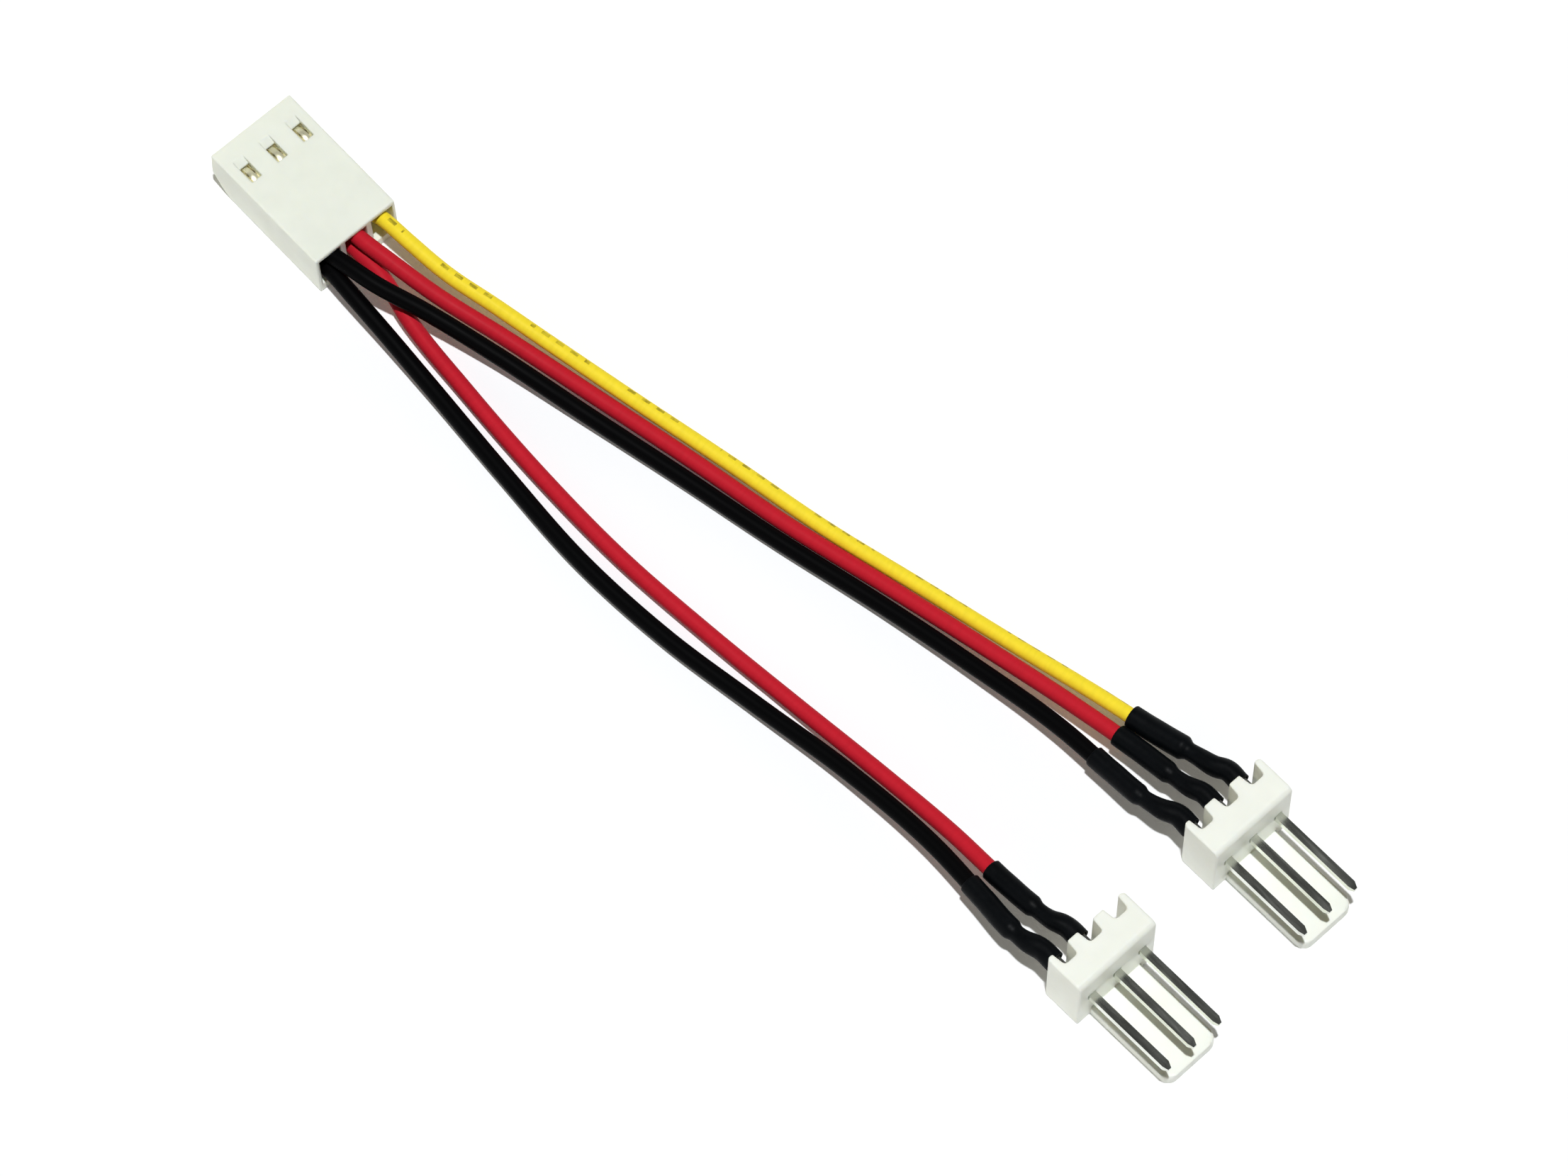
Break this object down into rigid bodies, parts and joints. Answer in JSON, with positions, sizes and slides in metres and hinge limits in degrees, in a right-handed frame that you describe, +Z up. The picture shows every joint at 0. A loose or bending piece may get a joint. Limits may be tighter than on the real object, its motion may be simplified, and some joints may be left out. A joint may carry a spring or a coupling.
{
  "type": "fan splitter cable",
  "caption": "Splitter cable for computer fans: a crimp socket branches through thin insulated wires to pin headers with locking walls, joined under heat-shrink sleeves",
  "frame": {"origin": "on the table under the middle of the box round the connectors and sleeves", "axes": "+X runs from the socket to the plugs, along the socket's own axis; +Z is up from the table; +Y is toward the plug with the yellow wire"},
  "size_m": [0.1009, 0.0253, 0.0063],
  "materials": {
    "ivory_nylon": "satin",
    "tinned_brass_1": "tinned",
    "tinned_strands_1": "tinned",
    "tinned_brass_2": "tinned",
    "tinned_strands_2": "tinned",
    "tinned_brass_3": "tinned",
    "tinned_strands_3": "tinned",
    "yellow_insulation": "satin",
    "black_sleeve_yellow": "matte",
    "solder_yellow": "solder",
    "red_insulation_a": "satin",
    "black_sleeve_red_a": "matte",
    "solder_red_a": "solder",
    "red_insulation_b": "satin",
    "black_sleeve_red_b": "matte",
    "solder_red_b": "solder",
    "black_insulation_a": "satin",
    "black_sleeve_black_a": "matte",
    "solder_black_a": "solder",
    "black_insulation_b": "satin",
    "black_sleeve_black_b": "matte",
    "solder_black_b": "solder",
    "white_nylon_a": "satin",
    "plated_pin_a1": "tin plated",
    "plated_pin_a2": "tin plated",
    "plated_pin_a3": "tin plated",
    "white_nylon_b": "satin",
    "plated_pin_b1": "tin plated",
    "plated_pin_b2": "tin plated",
    "plated_pin_b3": "tin plated"
  },
  "bodies": {
    "root": {"socket_housing": "ivory_nylon", "socket_terminal_1": "tinned_brass_1", "crimped_core_1": "tinned_strands_1", "socket_terminal_2": "tinned_brass_2", "crimped_core_2": "tinned_strands_2", "socket_terminal_3": "tinned_brass_3", "crimped_core_3": "tinned_strands_3", "yellow_wire": "yellow_insulation", "yellow_sleeve": "black_sleeve_yellow", "yellow_joint": "solder_yellow", "red_wire_a": "red_insulation_a", "red_sleeve_a": "black_sleeve_red_a", "red_joint_a": "solder_red_a", "red_wire_b": "red_insulation_b", "red_sleeve_b": "black_sleeve_red_b", "red_joint_b": "solder_red_b", "black_wire_a": "black_insulation_a", "black_sleeve_a": "black_sleeve_black_a", "black_joint_a": "solder_black_a", "black_wire_b": "black_insulation_b", "black_sleeve_b": "black_sleeve_black_b", "black_joint_b": "solder_black_b", "plug_a_body": "white_nylon_a", "plug_a_pin_1": "plated_pin_a1", "plug_a_pin_2": "plated_pin_a2", "plug_a_pin_3": "plated_pin_a3", "plug_b_body": "white_nylon_b", "plug_b_pin_1": "plated_pin_b1", "plug_b_pin_2": "plated_pin_b2", "plug_b_pin_3": "plated_pin_b3"}
  },
  "joints": []
}
